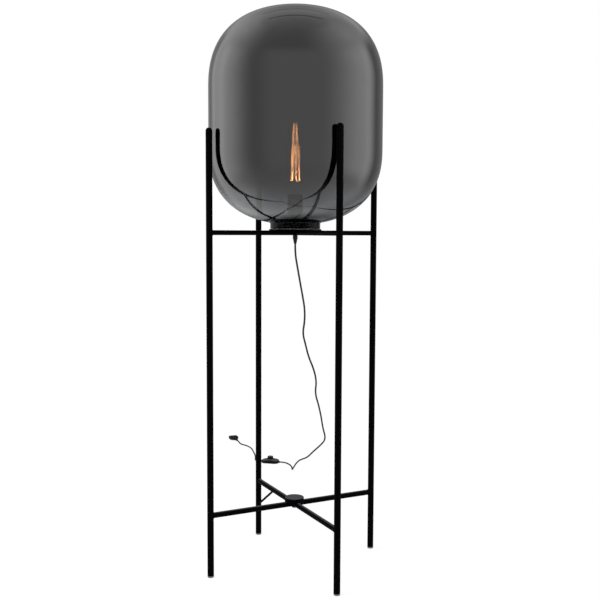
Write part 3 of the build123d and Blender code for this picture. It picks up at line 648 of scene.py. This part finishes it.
def seen_directly(tree):
    """1 for rays from the camera, a mirror or glass, and 0 for light on matt surfaces."""
    path = add(tree, "ShaderNodeLightPath")
    mirror = add(tree, "ShaderNodeMath", {0: path.outputs["Is Camera Ray"], 1: path.outputs["Is Glossy Ray"]},
                 operation="MAXIMUM")
    either = add(tree, "ShaderNodeMath", {0: mirror.outputs[0], 1: path.outputs["Is Transmission Ray"]},
                 operation="MAXIMUM")
    return either.outputs[0]


def painted_floor():
    """Matt for the lamp's light and shadow, and mostly plain white where it is seen."""
    material, tree, output = finish("painted_studio_floor")
    matt = add(tree, "ShaderNodeBsdfDiffuse", {"Color": linear("#fafafa")})
    white = add(tree, "ShaderNodeEmission", {"Color": linear("#ffffff"), "Strength": FLOOR_WHITE})
    share = add(tree, "ShaderNodeMath", {0: seen_directly(tree), 1: FLOOR_WHITE_SHARE}, operation="MULTIPLY")
    mix = add(tree, "ShaderNodeMixShader", {0: share.outputs[0], 1: matt.outputs[0], 2: white.outputs[0]})
    tree.links.new(mix.outputs[0], output.inputs["Surface"])
    return material


floor_mesh = bpy.data.meshes.new("studio_floor")
half = FLOOR_SIZE / 2
floor_mesh.from_pydata([(-half, -half, 0), (half, -half, 0), (half, half, 0), (-half, half, 0)], [], [(0, 1, 2, 3)])
floor = bpy.data.objects.new("studio_floor", floor_mesh)
floor_mesh.materials.append(painted_floor())
bpy.context.scene.collection.objects.link(floor)

world = bpy.data.worlds.new("studio")
bpy.context.scene.world = world
world.use_nodes = True
world.node_tree.nodes.clear()
light_level = add(world.node_tree, "ShaderNodeMapRange", {"Value": seen_directly(world.node_tree),
                                                          "To Min": DIFFUSE_WORLD, "To Max": 1.0})
sky = add(world.node_tree, "ShaderNodeBackground", {"Color": linear("#ffffff"),
                                                    "Strength": light_level.outputs["Result"]})
add(world.node_tree, "ShaderNodeOutputWorld", {"Surface": sky.outputs[0]})
print("floor and world ready")

# %% [markdown]
# **What the glass mirrors.** Polished glass looks like whatever stands round it. This tent of cloth goes round the
# lamp, over it and along the floor, and only mirrors see it, so it lights nothing and hides nothing. It is brightest to
# the left and the right, plain in front and overhead, and dark behind, which gives the two soft bands and the dark rim.
# Its brightness is a ramp over the turn at the height of the glass, one halfway up and one low down. The real studio
# isn't known: these ramps stand in for it, and were fitted to the greys that the glass has in the photograph.

# %% lighting tent
TENT_RADIUS = 3.2
TENT_MIDDLE_Z = 1.2
TENT_HEM_Z = 0.004
TENT_HEM_RADIUS = 0.06
TENT_STEPS = 96
TENT_RINGS = 40
TENT_PEAK = 3.0
ALL_ROUND = 180              # degrees to either side of the camera
ALL_HEIGHTS = 90             # degrees above and below the middle of the glass
# turn in degrees from the camera's side, to the right, and brightness
LIGHT_LEVEL = [(-180, 0.25), (-144, 0.42), (-127, 1.6), (-104, 2.9), (-92, 2.8), (-52, 1.15), (-25, 1.5), (30, 1.5),
               (84, 3.0), (100, 2.7), (127, 0.38), (180, 0.22)]
LIGHT_HALFWAY = [(-180, 0.45), (-97, 2.25), (-40, 1.05), (5, 1.05), (82, 2.35), (140, 1.0), (180, 0.45)]
LIGHT_LOW = [(-180, 0.1), (-150, 1.2), (-98, 2.0), (-45, 1.3), (20, 1.4), (78, 1.65), (104, 1.4), (140, 0.45),
             (180, 0.1)]
LIGHT_OVERHEAD = 1.2
LIGHT_FLOOR = 1.15
# height in degrees above the middle of the glass, and share of the second light
RISE_TO_HALFWAY = [(24, 0.0), (38, 1.0)]
RISE_TO_OVERHEAD = [(46, 0.0), (58, 0.3), (68, 0.85), (80, 1.0)]
FALL_TO_LOW = [(-38, 1.0), (-14, 0.0)]
FALL_TO_FLOOR = [(-75, 1.0), (-50, 0.0)]


def grey(level):
    """A colour without hue."""
    return (level,) * 3 + (1,)


def by_degrees(tree, source, stops, reach, peak=1.0):
    """A grey ramp from stops of (degrees, value); the source runs from 0 at minus reach to 1 at reach."""
    return colour_ramp(tree, source, [((degree + reach) / (2 * reach), grey(value / peak)) for degree, value in stops])


def tent_cloth():
    """Light that depends on where on the tent it comes from."""
    material, tree, output = finish("tent_cloth")
    where = add(tree, "ShaderNodeTexCoord")
    split = add(tree, "ShaderNodeSeparateXYZ", {"Vector": where.outputs["UV"]})
    turn, height = split.outputs["X"], split.outputs["Y"]
    level, halfway, low = [by_degrees(tree, turn, stops, ALL_ROUND, TENT_PEAK)
                           for stops in (LIGHT_LEVEL, LIGHT_HALFWAY, LIGHT_LOW)]
    overhead, below = grey(LIGHT_OVERHEAD / TENT_PEAK), grey(LIGHT_FLOOR / TENT_PEAK)
    light = level
    for share, other in ((RISE_TO_HALFWAY, halfway), (RISE_TO_OVERHEAD, overhead), (FALL_TO_LOW, low),
                         (FALL_TO_FLOOR, below)):
        light = between(tree, by_degrees(tree, height, share, ALL_HEIGHTS), light, other)
    glow = add(tree, "ShaderNodeEmission", {"Color": light, "Strength": TENT_PEAK})
    tree.links.new(glow.outputs[0], output.inputs["Surface"])
    return material


def mirrors_only(piece):
    """Keep a stage piece out of everything but reflections."""
    piece.visible_camera = False
    piece.visible_diffuse = False
    piece.visible_transmission = False
    piece.visible_shadow = False
    bpy.context.scene.collection.objects.link(piece)


def tent_profile():
    """Radius, height and angle of height above the middle of the glass, from the hem to the crown."""
    drop = TENT_MIDDLE_Z - TENT_HEM_Z
    edge = sqrt(TENT_RADIUS ** 2 - drop ** 2)
    low = -atan2(drop, edge)
    rows = []
    for step in range(TENT_RINGS):
        r = TENT_HEM_RADIUS + (edge - TENT_HEM_RADIUS) * step / TENT_RINGS
        rows.append((r, TENT_HEM_Z, -atan2(drop, r)))
    for step in range(TENT_RINGS + 1):
        rise = low + (pi / 2 - low) * step / TENT_RINGS
        rows.append((TENT_RADIUS * cos(rise), TENT_MIDDLE_Z + TENT_RADIUS * sin(rise), rise))
    return rows


def tent():
    """The cloth as a mesh; its UV map holds the turn and the height."""
    mesh = bmesh.new()
    uv = mesh.loops.layers.uv.new("UVMap")
    rows = tent_profile()
    columns = []
    for step in range(TENT_STEPS + 1):
        turn = -pi + 2 * pi * step / TENT_STEPS
        way = -level_forward * cos(turn) + level_right * sin(turn)
        columns.append([mesh.verts.new(way * r + up * z) for r, z, rise in rows])
    for i in range(TENT_STEPS):
        for j in range(len(rows) - 1):
            corners = ((i, j), (i + 1, j), (i + 1, j + 1), (i, j + 1))
            face = mesh.faces.new([columns[a][b] for a, b in corners])
            for loop, (a, b) in zip(face.loops, corners):
                loop[uv].uv = (a / TENT_STEPS, 0.5 + rows[b][2] / pi)
    data = bpy.data.meshes.new("lighting_tent")
    mesh.to_mesh(data)
    mesh.free()
    data.materials.append(tent_cloth())
    piece = bpy.data.objects.new("lighting_tent", data)
    mirrors_only(piece)
    return piece


lighting_tent = tent()
print("lighting tent faces:", len(lighting_tent.data.polygons))

# %% [markdown]
# The crown of the glass mirrors two thin dark arcs. What makes them is out of the picture, so two grey battens stand in
# for it, from left to right overhead and a little behind the lamp.

# %% ceiling battens
BATTEN_Z = 3.0
BATTEN_BEHIND = (0.155, 0.93)
BATTEN_LENGTH = 1.3
BATTEN_WIDTH = 0.07
BATTEN_GREY = 0.45


def lit_batten():
    """An even grey."""
    material, tree, output = finish("grey_batten")
    shader = add(tree, "ShaderNodeEmission", {"Color": linear("#ffffff"), "Strength": BATTEN_GREY})
    tree.links.new(shader.outputs[0], output.inputs["Surface"])
    return material


batten_grey = lit_batten()
for number, behind in enumerate(BATTEN_BEHIND, 1):
    data = bpy.data.meshes.new(f"ceiling_batten_{number}")
    middle = level_forward * behind + up * BATTEN_Z
    along_batten, across_batten = level_right * BATTEN_LENGTH / 2, level_forward * BATTEN_WIDTH / 2
    data.from_pydata([middle + a * along_batten + b * across_batten for a, b in ((-1, -1), (1, -1), (1, 1), (-1, 1))],
                     [], [(0, 1, 2, 3)])
    data.materials.append(batten_grey)
    mirrors_only(bpy.data.objects.new(f"ceiling_batten_{number}", data))
print("battens:", len(BATTEN_BEHIND))

# %% [markdown]
# One large overhead light gives the stand its top edges and the floor its shadow. It is soft, because it is wide, and
# it stays out of the mirrors.

# %% overhead light
LIGHT_PLACE = Vector((-0.9, -0.8, 3.2))
LIGHT_WIDTH = 2.2
LIGHT_WATTS = 28.0
LIGHT_AIM = Vector((0, 0, 0.6))
light_data = bpy.data.lights.new("overhead", "AREA")
light_data.energy = LIGHT_WATTS
light_data.shape = "DISK"
light_data.size = LIGHT_WIDTH
light = bpy.data.objects.new("overhead", light_data)
turned = (LIGHT_AIM - LIGHT_PLACE).to_track_quat("-Z", "Y").to_matrix().to_4x4()
light.matrix_world = Matrix.Translation(LIGHT_PLACE) @ turned
light.visible_glossy = False
bpy.context.scene.collection.objects.link(light)
print("overhead light at", [round(v, 2) for v in LIGHT_PLACE])
